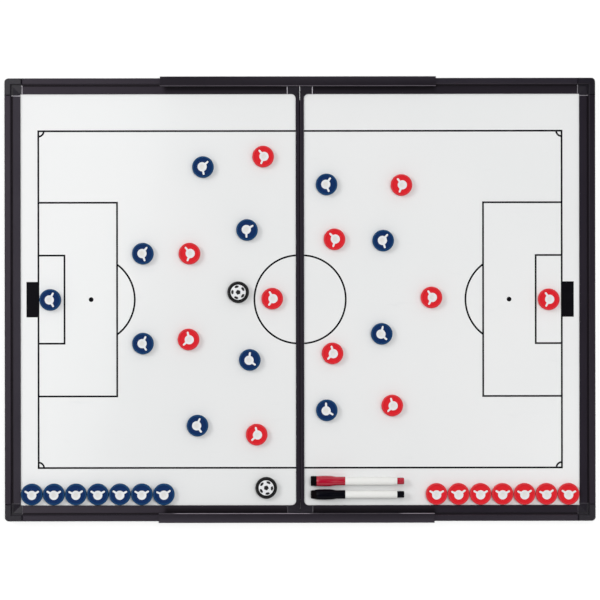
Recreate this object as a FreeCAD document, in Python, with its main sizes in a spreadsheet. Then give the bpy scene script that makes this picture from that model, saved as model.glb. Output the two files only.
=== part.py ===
import FreeCAD
import Part
import Sketcher
import math
import os
from FreeCAD import Placement, Rotation, Vector

# A folding magnetic tactics board, lying face up and open.
# X runs along the open board, Y across it and Z up, with the origin on the table under the seam.

# Driving dimensions in millimetres, and counts.
SIZES = {
    # Open board
    "board_length": 600,
    "board_width": 450,
    "seam_gap": 0.4,
    # Leaf panel, back to front
    "backing_thickness": 0.5,
    "core_thickness": 5,
    "sheet_thickness": 0.5,
    "panel_edge_gap": 0.3,
    "slot_clearance": 0.1,
    # Rail profile
    "rail_width": 16,
    "rail_height": 13.4,
    "rail_wall": 1.3,
    "flange_thickness": 2.4,
    "rim_width": 6.4,
    "rim_bevel": 0.9,
    "groove_width": 2.1,
    "groove_depth": 4,
    "ledge_rise": 2,
    "ledge_lip": 1.1,
    # Hinge rail profile
    "seam_wall": 2.8,
    "seam_ledge_width": 4.2,
    "seam_flange_width": 17,
    "seam_round": 0.9,
    # Moulded corners
    "cap_length": 17.4,
    "cap_round": 4,
    "joint_gap": 0.15,
    "seam_corner_length": 12.5,
    "seam_corner_width": 21,
    "seam_corner_round": 4.5,
    "tongue_length": 12,
    "tongue_clearance": 0.15,
    "foot_height": 2,
    "foot_side": 13,
    "foot_inset": 1.5,
    # Hinge
    "knuckle_radius": 1.8,
    "knuckle_clearance": 0.3,
    "knuckle_gap": 0.3,
    "knuckle_count": 5,
    "hinge_end_gap": 0.5,
    "pin_radius": 0.9,
    "pin_clearance": 0.05,
    "plate_width": 14,
    "plate_thickness": 0.8,
    "plate_clearance": 0.2,
    # Lock bars
    "bar_length": 280,
    "bar_web": 1.8,
    "bar_skirt_wall": 1.4,
    "bar_skirt_drop": 9.2,
    "bar_clearance": 0.2,
    "bar_groove_clearance": 0.3,
    "bar_round": 0.7,
    "top_bar_shift": 2,
    "bottom_bar_shift": 3.7,
    # Printed pitch, which places the counters
    "pitch_end_margin": 18,
    "pitch_side_margin": 38,
    # Counters
    "counter_radius": 11,
    "counter_height": 5,
    "counter_bevel": 0.7,
    "counter_sides": 18,
    "counter_spacing": 0.35,
    "spare_ball_seam_distance": 34.5,
    "spare_ball_ledge_distance": 17.8,
    "magnet_side": 11,
    "magnet_thickness": 2,
    "magnet_clearance": 0.1,
    # Pens
    "pen_seam_distance": 10.7,
    "pen_ledge_distance": 11.2,
    "pen_spacing": 13.6,
    "pen_rest_gap": 0.2,
    "eraser_length": 5.8,
    "eraser_radius": 5.2,
    "cap_crown_radius": 5.4,
    "cap_crown_length": 15.8,
    "cap_taper_length": 4.2,
    "cap_sleeve_radius": 4.4,
    "cap_sleeve_length": 9.2,
    "cap_bore_depth": 21,
    "barrel_radius": 4.15,
    "barrel_length": 52.7,
    "neck_radius": 3.5,
    "neck_length": 9,
    "neck_clearance": 0.1,
    "nose_radius": 2,
    "nose_length": 4,
    "nib_radius": 1,
    "nib_length": 4,
    "nib_seat_depth": 8,
    "nib_clearance": 0.05,
    "plug_radius": 3.4,
    "plug_length": 7.1,
    "plug_spigot_radius": 2.6,
    "plug_spigot_length": 6,
    "plug_clearance": 0.05,
}

# Heights above the table and distances that several pieces share.
PLACES = {
    "half_length": "=sizes.board_length / 2",
    "half_width": "=sizes.board_width / 2",
    "seam": "=sizes.seam_gap / 2",
    "back": "=sizes.foot_height",
    "panel": "=back + sizes.flange_thickness",
    "core": "=panel + sizes.backing_thickness",
    "steel": "=core + sizes.core_thickness",
    "face": "=steel + sizes.sheet_thickness",
    "slot_top": "=face + sizes.slot_clearance",
    "rim": "=back + sizes.rail_height",
    "groove": "=rim - sizes.groove_depth",
    "groove_edge": "=sizes.rim_width + sizes.groove_width",
    "slot_edge": "=seam + sizes.seam_wall",
    "relief": "=sizes.knuckle_radius + sizes.knuckle_clearance",
    "hinge_length": "=sizes.board_width - 2 * (sizes.seam_corner_width + sizes.hinge_end_gap)",
    "knuckle_pitch": "=hinge_length / sizes.knuckle_count",
    "web": "=rim + sizes.bar_clearance",
    "pitch_length": "=sizes.board_length - 2 * (sizes.rail_width + sizes.pitch_end_margin)",
    "pitch_width": "=sizes.board_width - 2 * (sizes.rail_width + sizes.pitch_side_margin)",
    "pen_axis": "=face + sizes.cap_crown_radius + sizes.pen_rest_gap",
    "pen_crown": "=sizes.eraser_length + sizes.cap_crown_length",
    "pen_sleeve": "=pen_crown + sizes.cap_taper_length",
    "pen_mouth": "=pen_sleeve + sizes.cap_sleeve_length",
    "pen_end": "=sizes.pen_seam_distance + pen_mouth + sizes.barrel_length + sizes.plug_length",
    "pen_draw": "=sizes.neck_length + sizes.nose_length + sizes.nib_length",
    "spare_step": "=2 * sizes.counter_radius + sizes.counter_spacing",
    "spare_edge": "=sizes.rail_width + sizes.counter_spacing + sizes.counter_radius",
    "spare_room": "=half_length - sizes.rail_width - sizes.counter_spacing - pen_end - pen_draw",
    "spare_count": "=floor(spare_room / spare_step)",
}

# Places of the counters from the middle of the pitch, as shares of its length and width.
BLUE_SHARES = [
    (-0.477, 0.000),
    (-0.300, 0.137),
    (-0.300, -0.130),
    (-0.185, 0.394),
    (-0.196, -0.374),
    (-0.101, 0.207),
    (-0.096, -0.179),
    (0.051, 0.342),
    (0.051, -0.329),
    (0.159, 0.175),
    (0.156, -0.102),
]
RED_SHARES = [
    (0.475, 0.000),
    (0.251, 0.006),
    (0.194, 0.340),
    (0.176, -0.315),
    (0.066, 0.179),
    (0.062, -0.160),
    (-0.053, 0.003),
    (-0.070, 0.425),
    (-0.083, -0.401),
    (-0.211, 0.137),
    (-0.213, -0.118),
]
MATCH_BALL_SHARE = (-0.118, 0.022)

doc = FreeCAD.newDocument("tactics_board")


def add_sheet(name, cells):
    """A sheet with one aliased cell for each named value."""
    sheet = doc.addObject("Spreadsheet::Sheet", name)
    for row, (alias, content) in enumerate(cells.items(), 1):
        sheet.set(f"A{row}", alias)
        sheet.set(f"B{row}", str(content))
        sheet.setAlias(f"B{row}", alias)
    doc.recompute()
    return sheet


sizes = add_sheet("sizes", SIZES)
places = add_sheet("places", PLACES)
nodes = []


def bind(thing, **formulas):
    """Ties properties of an object to formulas; an underscore in a name stands for a dot."""
    for name, formula in formulas.items():
        thing.setExpression(name.replace("_", "."), formula)


def put(thing, x="0", y="0", z="0"):
    """Ties the place of an object to formulas."""
    bind(thing, Placement_Base_x=x, Placement_Base_y=y, Placement_Base_z=z)


def node(thing, label):
    """Marks an object as a finished sub-part."""
    thing.Label = label
    nodes.append(thing)
    return thing


def origin(body, role):
    """An axis or plane of a body's own origin."""
    return next(f for f in body.Origin.OriginFeatures if f.Role == role)


def add_body(name):
    return doc.addObject("PartDesign::Body", name)


def add_sketch(body, plane, offset="0"):
    """An empty sketch on one of the body's planes, moved along the plane's normal."""
    sketch = body.newObject("Sketcher::SketchObject", "outline")
    sketch.AttachmentSupport = (origin(body, plane), [""])
    sketch.MapMode = "FlatFace"
    bind(sketch, AttachmentOffset_Base_z=offset)
    return sketch


def fix_point(sketch, geometry, vertex, x, y):
    """Ties one point of a sketch to its two formulas, measured from the sketch's origin."""
    for kind, formula in (("DistanceX", x), ("DistanceY", y)):
        row = sketch.addConstraint(Sketcher.Constraint(kind, -1, 1, geometry, vertex, 1))
        sketch.setExpression(f"Constraints[{row}]", formula)


def draw_loop(sketch, points):
    """A closed outline of straight lines through points given as formulas."""
    step = 2 * math.pi / len(points)
    guess = [Vector(math.cos(i * step), math.sin(i * step), 0) for i in range(len(points))]
    lines = [Part.LineSegment(guess[i - 1], guess[i]) for i in range(len(points))]
    first = sketch.addGeometry(lines, False)[0]
    for i, (x, y) in enumerate(points):
        after = first + (i + 1) % len(points)
        sketch.addConstraint(Sketcher.Constraint("Coincident", first + i, 2, after, 1))
        fix_point(sketch, first + i, 2, x, y)


def draw_path(sketch, points):
    """An open path of straight lines through points given as formulas."""
    guess = [Vector(i, i * i, 0) for i in range(len(points))]
    lines = [Part.LineSegment(guess[i], guess[i + 1]) for i in range(len(points) - 1)]
    sketch.addGeometry(lines, False)
    fix_point(sketch, 0, 1, *points[0])
    for i, point in enumerate(points[1:]):
        fix_point(sketch, i, 2, *point)
    for i in range(len(points) - 2):
        sketch.addConstraint(Sketcher.Constraint("Coincident", i, 2, i + 1, 1))


def draw_circle(sketch, x, y, radius):
    """A circle whose centre and radius are given as formulas."""
    circle = sketch.addGeometry(Part.Circle(Vector(), Vector(0, 0, 1), 1), False)
    fix_point(sketch, circle, 3, x, y)
    row = sketch.addConstraint(Sketcher.Constraint("Radius", circle, 1))
    sketch.setExpression(f"Constraints[{row}]", radius)


def extrude(body, sketch, length, kind="Pad", side="One side", reverse=False):
    """A pad or pocket of a sketch."""
    feature = body.newObject("PartDesign::" + kind, kind)
    feature.Profile = sketch
    feature.SideType = side
    feature.Reversed = reverse
    bind(feature, Length=length)
    sketch.Visibility = False
    return feature


def row_of(body, feature, length, count):
    """Repeats a feature along Y."""
    pattern = body.newObject("PartDesign::LinearPattern", "row")
    pattern.Originals = [feature]
    pattern.Direction = (origin(body, "Y_Axis"), [""])
    bind(pattern, Length=length, Occurrences=count)
    body.Tip = pattern
    return pattern


def mirror(body):
    """Adds the body's own image on the other side of the board's long middle line."""
    image = body.newObject("PartDesign::Mirrored", "image")
    image.TransformMode = "Whole shape"
    image.MirrorPlane = (origin(body, "XZ_Plane"), [""])
    body.Tip = image


def dress_edges(body, kind, chosen):
    """A fillet or chamfer on the edges of the body that the test picks."""
    doc.recompute()
    base = body.Tip
    names = [f"Edge{i}" for i, edge in enumerate(base.Shape.Edges, 1) if chosen(edge)]
    feature = body.newObject("PartDesign::" + kind, kind)
    feature.Base = (base, names)
    return feature


def round_edges(body, radius, chosen):
    """Rounds the edges of the body that the test picks."""
    bind(dress_edges(body, "Fillet", chosen), Radius=radius)


def bevel_edges(body, size, chosen):
    """Bevels the edges of the body that the test picks."""
    bind(dress_edges(body, "Chamfer", chosen), Size=size)


def copies(label, master, spots):
    """A sub-part made of placed copies of a master, each spot being x, y, z and a turn about Z."""
    group = doc.addObject("Part::Compound", "copies")
    links = []
    for x, y, z, angle in spots:
        link = doc.addObject("App::Link", "copy")
        link.LinkedObject = master
        link.LinkTransform = True
        link.Placement = Placement(Vector(), Rotation(Vector(0, 0, 1), angle))
        put(link, x, y, z)
        links.append(link)
    group.Links = links
    return node(group, label)


def opposite(label, master):
    """The right leaf's piece: the left leaf's piece turned half round about Z."""
    return copies(label, master, [("0", "0", "0", 180)])


def at_height(edge, height):
    """Whether a whole edge lies at one height."""
    return all(round(vertex.Z - height, 6) == 0 for vertex in edge.Vertexes)


def leaf_layer(label, bottom, thickness):
    """One flat layer of the left leaf's panel, held in the slots of the rails."""
    layer = doc.addObject("Part::Box", label)
    inset = "(sizes.rim_width + sizes.panel_edge_gap)"
    bind(layer,
         Length=f"places.half_length - {inset} - places.slot_edge - sizes.panel_edge_gap",
         Width=f"sizes.board_width - 2 * {inset}",
         Height=thickness)
    put(layer, f"-places.half_length + {inset}", f"-places.half_width + {inset}", bottom)
    return node(layer, label)


def rail_points(edge, inward):
    """The rail's section from its outer edge inward: flange, slot for the panel, ledge, groove and rim."""
    section = [
        ("0", "places.back"),
        ("sizes.rail_width", "places.back"),
        ("sizes.rail_width", "places.panel"),
        ("sizes.rim_width", "places.panel"),
        ("sizes.rim_width", "places.slot_top"),
        ("sizes.rail_width", "places.slot_top"),
        ("sizes.rail_width", "places.face + sizes.ledge_lip"),
        ("places.groove_edge", "places.face + sizes.ledge_rise"),
        ("places.groove_edge", "places.groove"),
        ("sizes.rim_width", "places.groove"),
        ("sizes.rim_width", "places.rim"),
        ("0", "places.rim"),
    ]
    return [(f"{edge} {inward} ({u})", z) for u, z in section]


def box_points(edge, inward, wall):
    """The chamber of the rail's box, or the tongue in it, at a wall's distance from the outside."""
    low, high = f"({wall})", f"(sizes.rim_width - ({wall}))"
    bottom, top = f"places.back + ({wall})", f"places.rim - ({wall})"
    corners = [(low, bottom), (high, bottom), (high, top), (low, top)]
    return [(f"{edge} {inward} {u}", z) for u, z in corners]


def bevel_rim(body):
    """Bevels the top edges that run along a rim."""
    def runs_along(edge):
        return at_height(edge, places.rim) and edge.Length > sizes.rim_width

    bevel_edges(body, "sizes.rim_bevel", runs_along)


def long_rails():
    """The left leaf's top and bottom rails, from the corner caps to the seam corners."""
    body = add_body("long_rails")
    start = "-places.half_length + sizes.cap_length + sizes.joint_gap"
    sketch = add_sketch(body, "YZ_Plane", offset=start)
    draw_loop(sketch, rail_points("places.half_width", "-"))
    draw_loop(sketch, box_points("places.half_width", "-", "sizes.rail_wall"))
    corners = "(sizes.cap_length + sizes.seam_corner_length + 2 * sizes.joint_gap)"
    extrude(body, sketch, f"places.half_length - {corners}")
    bevel_rim(body)
    mirror(body)
    return node(body, "left_long_rails")


def side_rail():
    """The left leaf's end rail, between its two corner caps."""
    body = add_body("side_rail")
    sketch = add_sketch(body, "XZ_Plane")
    draw_loop(sketch, rail_points("-places.half_length", "+"))
    draw_loop(sketch, box_points("-places.half_length", "+", "sizes.rail_wall"))
    corners = "2 * (sizes.cap_length + sizes.joint_gap)"
    extrude(body, sketch, f"sizes.board_width - {corners}", side="Symmetric")
    bevel_rim(body)
    return node(body, "left_side_rail")


def hinge_rail():
    """The left leaf's rail at the seam, cut back for the knuckles and rebated for the plate."""
    body = add_body("hinge_rail")
    rebate = "sizes.plate_width + sizes.plate_clearance"
    section = [
        (rebate, "places.back"),
        ("sizes.seam_flange_width", "places.back"),
        ("sizes.seam_flange_width", "places.panel"),
        ("places.slot_edge", "places.panel"),
        ("places.slot_edge", "places.slot_top"),
        ("sizes.seam_ledge_width", "places.slot_top"),
        ("sizes.seam_ledge_width", "places.face + sizes.ledge_lip"),
        ("places.seam", "places.face + sizes.ledge_lip"),
        ("places.seam", "places.back + places.relief"),
        ("places.relief", "places.back + places.relief"),
        ("places.relief", "places.back + sizes.plate_thickness"),
        (rebate, "places.back + sizes.plate_thickness"),
    ]
    sketch = add_sketch(body, "XZ_Plane")
    draw_loop(sketch, [(f"-({v})", z) for v, z in section])
    extrude(body, sketch, "sizes.board_width - 2 * sizes.seam_corner_width", side="Symmetric")
    crest = places.face + sizes.ledge_lip

    def meets_seam(edge):
        return at_height(edge, crest) and round(edge.CenterOfMass.x + places.seam, 6) == 0

    round_edges(body, "sizes.seam_round", meets_seam)
    return node(body, "left_hinge_rail")


def corner_caps():
    """The left leaf's outer corners: the rail's section mitred, with two tongues and a foot."""
    body = add_body("corner_caps")
    inner_x, inner_y = "-places.half_length + sizes.cap_length", "places.half_width - sizes.cap_length"
    path = add_sketch(body, "XY_Plane", offset="places.back")
    draw_path(path, [(inner_x, "places.half_width"),
                     ("-places.half_length", "places.half_width"),
                     ("-places.half_length", inner_y)])
    section = add_sketch(body, "YZ_Plane", offset=inner_x)
    draw_loop(section, rail_points("places.half_width", "-"))
    sweep = body.newObject("PartDesign::AdditivePipe", "sweep")
    sweep.Profile = section
    sweep.Spine = (path, ["Edge1", "Edge2"])
    sweep.Transition = "Right corner"
    round_edges(body, "sizes.cap_round", is_outer_corner)
    bevel_rim(body)
    wall = "sizes.rail_wall + sizes.tongue_clearance"
    tongue = add_sketch(body, "YZ_Plane", offset=inner_x)
    draw_loop(tongue, box_points("places.half_width", "-", wall))
    extrude(body, tongue, "sizes.tongue_length")
    tongue = add_sketch(body, "XZ_Plane", offset=f"-({inner_y})")
    draw_loop(tongue, box_points("-places.half_length", "+", wall))
    extrude(body, tongue, "sizes.tongue_length")
    foot = add_sketch(body, "XY_Plane")
    near, far = "sizes.foot_inset", "(sizes.foot_inset + sizes.foot_side)"
    corners = [(near, near), (far, near), (far, far), (near, far)]
    draw_loop(foot, [(f"-places.half_length + {u}", f"places.half_width - {v}") for u, v in corners])
    extrude(body, foot, "sizes.foot_height")
    mirror(body)
    return node(body, "left_corner_caps")


def is_outer_corner(edge):
    """Whether an edge stands on the outer corner of the left leaf."""
    away = [(vertex.X + places.half_length, vertex.Y - places.half_width) for vertex in edge.Vertexes]
    return all(round(x, 6) == 0 and round(y, 6) == 0 for x, y in away)


def seam_corners():
    """The left leaf's corners at the seam: the rail's section and a wall along the seam."""
    body = add_body("seam_corners")
    start = "-sizes.seam_corner_length"
    section = add_sketch(body, "YZ_Plane", offset=start)
    draw_loop(section, rail_points("places.half_width", "-"))
    extrude(body, section, "sizes.seam_corner_length - places.seam")
    bevel_rim(body)
    wall = add_sketch(body, "XZ_Plane", offset="-(places.half_width - places.groove_edge)")
    draw_loop(wall, [(f"-({v})", z) for v, z in seam_wall_points()])
    extrude(body, wall, "sizes.seam_corner_width - places.groove_edge")
    fill_seam_corner(body)
    tongue = add_sketch(body, "YZ_Plane", offset=start)
    draw_loop(tongue, box_points("places.half_width", "-", "sizes.rail_wall + sizes.tongue_clearance"))
    extrude(body, tongue, "sizes.tongue_length", reverse=True)
    mirror(body)
    return node(body, "left_seam_corners")


def seam_wall_points():
    """The section of the seam corner along the seam, from the seam into the leaf."""
    lip = "places.face + sizes.ledge_lip"
    return [
        ("places.seam", "places.back"),
        ("sizes.seam_corner_length", "places.back"),
        ("sizes.seam_corner_length", "places.panel"),
        ("places.slot_edge", "places.panel"),
        ("places.slot_edge", "places.slot_top"),
        ("sizes.seam_ledge_width", "places.slot_top"),
        ("sizes.seam_ledge_width", lip),
        ("places.seam", lip),
    ]


def fill_seam_corner(body):
    """Fills the inner corner between the two ledges of a seam corner with a hollow round."""
    near_x, near_y = "-sizes.seam_ledge_width", "places.half_width - sizes.rail_width"
    far_x, far_y = f"{near_x} - sizes.seam_corner_round", f"{near_y} - sizes.seam_corner_round"
    depth = "sizes.ledge_lip - sizes.slot_clearance"
    square = add_sketch(body, "XY_Plane", offset="places.slot_top")
    draw_loop(square, [(near_x, near_y), (far_x, near_y), (far_x, far_y), (near_x, far_y)])
    extrude(body, square, depth)
    hollow = add_sketch(body, "XY_Plane", offset="places.face + sizes.ledge_lip")
    draw_circle(hollow, far_x, far_y, "sizes.seam_corner_round")
    extrude(body, hollow, depth, kind="Pocket")


def hinge_plate(label, side, first_gap, gap_count):
    """One hinge plate with rolled knuckles and gaps for the other's; side is the sign of X."""
    body = add_body("hinge_plate")
    ring = add_sketch(body, "XZ_Plane")
    draw_circle(ring, "0", "places.back", "sizes.knuckle_radius")
    draw_circle(ring, "0", "places.back", "sizes.pin_radius + sizes.pin_clearance")
    extrude(body, ring, "places.hinge_length", side="Symmetric")
    plate = add_sketch(body, "XZ_Plane")
    root = "(sizes.knuckle_radius + sizes.pin_radius + sizes.pin_clearance) / 2"
    edge = "sizes.plate_width"
    top = "places.back + sizes.plate_thickness"
    corners = [(root, "places.back"), (edge, "places.back"), (edge, top), (root, top)]
    draw_loop(plate, [(f"{side}({v})", z) for v, z in corners])
    extrude(body, plate, "places.hinge_length", side="Symmetric")
    gap = add_sketch(body, "XY_Plane", offset="places.back")
    middle = f"(-places.hinge_length / 2 + {first_gap} * places.knuckle_pitch)"
    half = "(places.knuckle_pitch + sizes.knuckle_gap) / 2"
    low, high = f"{middle} - {half}", f"{middle} + {half}"
    near, far = "-places.relief", "places.relief"
    draw_loop(gap, [(near, low), (far, low), (far, high), (near, high)])
    cut = extrude(body, gap, "2 * places.relief", kind="Pocket", side="Symmetric")
    row_of(body, cut, f"2 * places.knuckle_pitch * ({gap_count} - 1)", gap_count)
    return node(body, label)


def hinge_pin():
    pin = doc.addObject("Part::Cylinder", "hinge_pin")
    pin.Placement = Placement(Vector(), Rotation(Vector(1, 0, 0), -90))
    bind(pin, Radius="sizes.pin_radius", Height="places.hinge_length")
    put(pin, "0", "-places.hinge_length / 2", "places.back")
    return node(pin, "hinge_pin")


def lock_bar(label, edge, inward, shift):
    """A channel over the rims: a skirt outside, a web on top and a lip in the groove."""
    body = add_body(label)
    skirt, top = "places.web - sizes.bar_skirt_drop", "places.web + sizes.bar_web"
    foot = "places.groove + sizes.bar_groove_clearance"
    outline = [
        ("-sizes.bar_clearance - sizes.bar_skirt_wall", skirt),
        ("-sizes.bar_clearance", skirt),
        ("-sizes.bar_clearance", "places.web"),
        ("sizes.rim_width + sizes.bar_groove_clearance", "places.web"),
        ("sizes.rim_width + sizes.bar_groove_clearance", foot),
        ("places.groove_edge - sizes.bar_groove_clearance", foot),
        ("places.groove_edge - sizes.bar_groove_clearance", top),
        ("-sizes.bar_clearance - sizes.bar_skirt_wall", top),
    ]
    sketch = add_sketch(body, "YZ_Plane", offset=f"-{shift}")
    draw_loop(sketch, [(f"{edge} {inward} ({u})", z) for u, z in outline])
    extrude(body, sketch, "sizes.bar_length", side="Symmetric")
    crown = places.web + sizes.bar_web

    def runs_along(edge):
        return at_height(edge, crown) and edge.Length > sizes.rail_width

    round_edges(body, "sizes.bar_round", runs_along)
    return node(body, label)


def counter():
    """The pattern of every counter: a bevelled disc with a square magnet let into its underside."""
    disc = add_body("counter_disc")
    blank = disc.newObject("PartDesign::AdditivePrism", "blank")
    bind(blank, Polygon="sizes.counter_sides")
    bind(blank, Circumradius="sizes.counter_radius", Height="sizes.counter_height")
    bevel_edges(disc, "sizes.counter_bevel", lambda edge: at_height(edge, sizes.counter_height))
    recess = add_sketch(disc, "XY_Plane")
    half = "(sizes.magnet_side / 2 + sizes.magnet_clearance)"
    draw_loop(recess, [(f"-{half}", f"-{half}"), (half, f"-{half}"), (half, half), (f"-{half}", half)])
    extrude(disc, recess, "sizes.magnet_thickness", kind="Pocket", reverse=True)
    magnet = doc.addObject("Part::Box", "counter_magnet")
    bind(magnet, Length="sizes.magnet_side", Width="sizes.magnet_side", Height="sizes.magnet_thickness")
    put(magnet, "-sizes.magnet_side / 2", "-sizes.magnet_side / 2")
    both = doc.addObject("Part::Compound", "counter")
    both.Links = [disc, magnet]
    return both


def counters():
    """Every counter on the board: the players, the two balls and the two rows of spare players."""
    master = counter()

    def pitch_spot(share):
        return f"{share[0]} * places.pitch_length", f"{share[1]} * places.pitch_width", "places.face", 0

    for team, shares in (("blue", BLUE_SHARES), ("red", RED_SHARES)):
        for number, share in enumerate(shares, 1):
            copies(f"{team}_player_{number:02d}", master, [pitch_spot(share)])
    copies("match_ball", master, [pitch_spot(MATCH_BALL_SHARE)])
    ball_y = "-(places.half_width - sizes.rail_width - sizes.spare_ball_ledge_distance)"
    copies("spare_ball", master, [("-sizes.spare_ball_seam_distance", ball_y, "places.face", 0)])
    for team, sign in (("blue", "-"), ("red", "")):
        row = [(f"{sign}(places.half_length - places.spare_edge - {i} * places.spare_step)",
                "-(places.half_width - places.spare_edge)", "places.face", 0)
               for i in range(int(places.spare_count))]
        copies(f"spare_{team}_players", master, row)


def turned(name, outline):
    """A round piece of a pen, turned about X from distances along the pen and radii."""
    body = add_body(name)
    sketch = add_sketch(body, "XZ_Plane")
    draw_loop(sketch, outline)
    feature = body.newObject("PartDesign::Revolution", "turned")
    feature.Profile = sketch
    feature.ReferenceAxis = (sketch, ["H_Axis"])
    return body


def cap_outline():
    """The pen's cap: a wide head that narrows to a sleeve, with a bore for the barrel's neck."""
    bore_end = "places.pen_mouth - sizes.cap_bore_depth"
    bore = "sizes.neck_radius + sizes.neck_clearance"
    return [
        ("sizes.eraser_length", "0"),
        ("sizes.eraser_length", "sizes.cap_crown_radius"),
        ("places.pen_crown", "sizes.cap_crown_radius"),
        ("places.pen_sleeve", "sizes.cap_sleeve_radius"),
        ("places.pen_mouth", "sizes.cap_sleeve_radius"),
        ("places.pen_mouth", bore),
        (bore_end, bore),
        (bore_end, "0"),
    ]


def barrel_outline():
    """The pen's barrel: nose with the nib's seat, neck, shoulder, body and a bore for the end plug."""
    neck = "places.pen_mouth - sizes.neck_length"
    nose = f"{neck} - sizes.nose_length"
    seat = f"{nose} + sizes.nib_seat_depth"
    end = "places.pen_mouth + sizes.barrel_length"
    nib_bore = "sizes.nib_radius + sizes.nib_clearance"
    plug_bore = "sizes.plug_spigot_radius + sizes.plug_clearance"
    return [
        (seat, "0"),
        (seat, nib_bore),
        (nose, nib_bore),
        (nose, "sizes.nose_radius"),
        (neck, "sizes.nose_radius"),
        (neck, "sizes.neck_radius"),
        ("places.pen_mouth", "sizes.neck_radius"),
        ("places.pen_mouth", "sizes.barrel_radius"),
        (end, "sizes.barrel_radius"),
        (end, plug_bore),
        (f"{end} - sizes.plug_spigot_length", plug_bore),
        (f"{end} - sizes.plug_spigot_length", "0"),
    ]


def pen_pieces():
    """The pieces of one pen along X from its eraser end, each as an outline of distances and radii."""
    nose = "places.pen_mouth - sizes.neck_length - sizes.nose_length"
    tip = f"{nose} - sizes.nib_length"
    seat = f"{nose} + sizes.nib_seat_depth"
    end = "places.pen_mouth + sizes.barrel_length"
    return {
        "eraser": [
            ("0", "0"),
            ("0", "sizes.eraser_radius"),
            ("sizes.eraser_length", "sizes.eraser_radius"),
            ("sizes.eraser_length", "0"),
        ],
        "cap": cap_outline(),
        "barrel": barrel_outline(),
        "nib": [
            (tip, "0"),
            (tip, "sizes.nib_radius"),
            (seat, "sizes.nib_radius"),
            (seat, "0"),
        ],
        "end_plug": [
            (f"{end} - sizes.plug_spigot_length", "0"),
            (f"{end} - sizes.plug_spigot_length", "sizes.plug_spigot_radius"),
            (end, "sizes.plug_spigot_radius"),
            (end, "sizes.plug_radius"),
            (f"{end} + sizes.plug_length", "sizes.plug_radius"),
            (f"{end} + sizes.plug_length", "0"),
        ],
    }


def pens():
    """The two pens, lying side by side along the bottom ledge of the right leaf."""
    low = "-(places.half_width - sizes.rail_width - sizes.pen_ledge_distance)"
    rows = {"black": low, "red": f"{low} + sizes.pen_spacing"}
    for name, outline in pen_pieces().items():
        master = turned(f"pen_{name}", outline)
        for colour, y in rows.items():
            spot = ("sizes.pen_seam_distance", y, "places.pen_axis", 0)
            copies(f"{colour}_pen_{name}", master, [spot])


def leaves():
    """The left leaf's pieces, and the right leaf's from the same pieces turned half round."""
    left = [
        leaf_layer("left_backing_sheet", "places.panel", "sizes.backing_thickness"),
        leaf_layer("left_core_board", "places.core", "sizes.core_thickness"),
        leaf_layer("left_writing_sheet", "places.steel", "sizes.sheet_thickness"),
        long_rails(),
        side_rail(),
        hinge_rail(),
        corner_caps(),
        seam_corners(),
    ]
    for piece in left:
        opposite(piece.Label.replace("left", "right"), piece)


def hinge():
    hinge_plate("hinge_plate_left", "-", "1.5", "floor(sizes.knuckle_count / 2)")
    hinge_plate("hinge_plate_right", "", "0.5", "ceil(sizes.knuckle_count / 2)")
    hinge_pin()


def write_parts():
    """Writes each sub-part once every object is sound."""
    doc.recompute()
    failed = [thing.Label for thing in doc.Objects if {"Invalid", "Error"} & set(thing.State)]
    failed += [thing.Label for thing in nodes if thing.Shape.isNull() or not thing.Shape.isValid()]
    if failed:
        raise RuntimeError(f"failed objects: {failed}")
    os.makedirs("parts", exist_ok=True)
    for thing in nodes:
        thing.Shape.exportStep(f"parts/{thing.Label}.step")
        print(thing.Label, len(thing.Shape.Solids), round(thing.Shape.Volume, 1))


leaves()
hinge()
lock_bar("top_lock_bar", "places.half_width", "-", "sizes.top_bar_shift")
lock_bar("bottom_lock_bar", "-places.half_width", "+", "sizes.bottom_bar_shift")
pens()
counters()
write_parts()
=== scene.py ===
import math

import bmesh
import bpy
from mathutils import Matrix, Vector


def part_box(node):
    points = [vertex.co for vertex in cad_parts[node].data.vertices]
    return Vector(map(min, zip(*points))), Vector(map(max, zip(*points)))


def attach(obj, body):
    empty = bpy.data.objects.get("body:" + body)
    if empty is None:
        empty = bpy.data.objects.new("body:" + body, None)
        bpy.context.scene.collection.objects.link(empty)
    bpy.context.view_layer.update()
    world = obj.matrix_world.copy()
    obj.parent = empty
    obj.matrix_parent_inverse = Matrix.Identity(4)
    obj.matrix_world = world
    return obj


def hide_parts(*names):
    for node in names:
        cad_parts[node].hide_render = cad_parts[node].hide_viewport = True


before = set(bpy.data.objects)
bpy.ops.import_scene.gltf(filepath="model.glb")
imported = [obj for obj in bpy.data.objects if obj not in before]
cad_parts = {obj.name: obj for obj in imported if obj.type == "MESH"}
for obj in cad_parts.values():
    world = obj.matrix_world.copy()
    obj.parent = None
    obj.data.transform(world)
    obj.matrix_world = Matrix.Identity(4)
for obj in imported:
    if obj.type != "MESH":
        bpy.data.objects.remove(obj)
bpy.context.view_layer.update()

# A folding magnetic tactics board, lying open and face up, dressed piece by piece.
# Sizes are in metres; X runs along the board, Y across it, Z up from the table.
MM = 0.001

# Heights and outlines taken from the solids
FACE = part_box("left_writing_sheet")[1].z
HALF_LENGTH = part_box("right_side_rail")[1].x
HALF_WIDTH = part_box("left_long_rails")[1].y
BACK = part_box("left_long_rails")[0].z
STRIP_EDGE = 4.2 * MM
LEDGE_START, LEDGE_END = 8.5 * MM, 16 * MM
LEDGE_CREST, LEDGE_LIP = 12.4 * MM, 11.5 * MM
CORNER_BURR = 7 * MM
GROOVE_START, GROOVE_END = 6.45 * MM, 8.45 * MM
BARS_END = 135 * MM, 141 * MM

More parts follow.
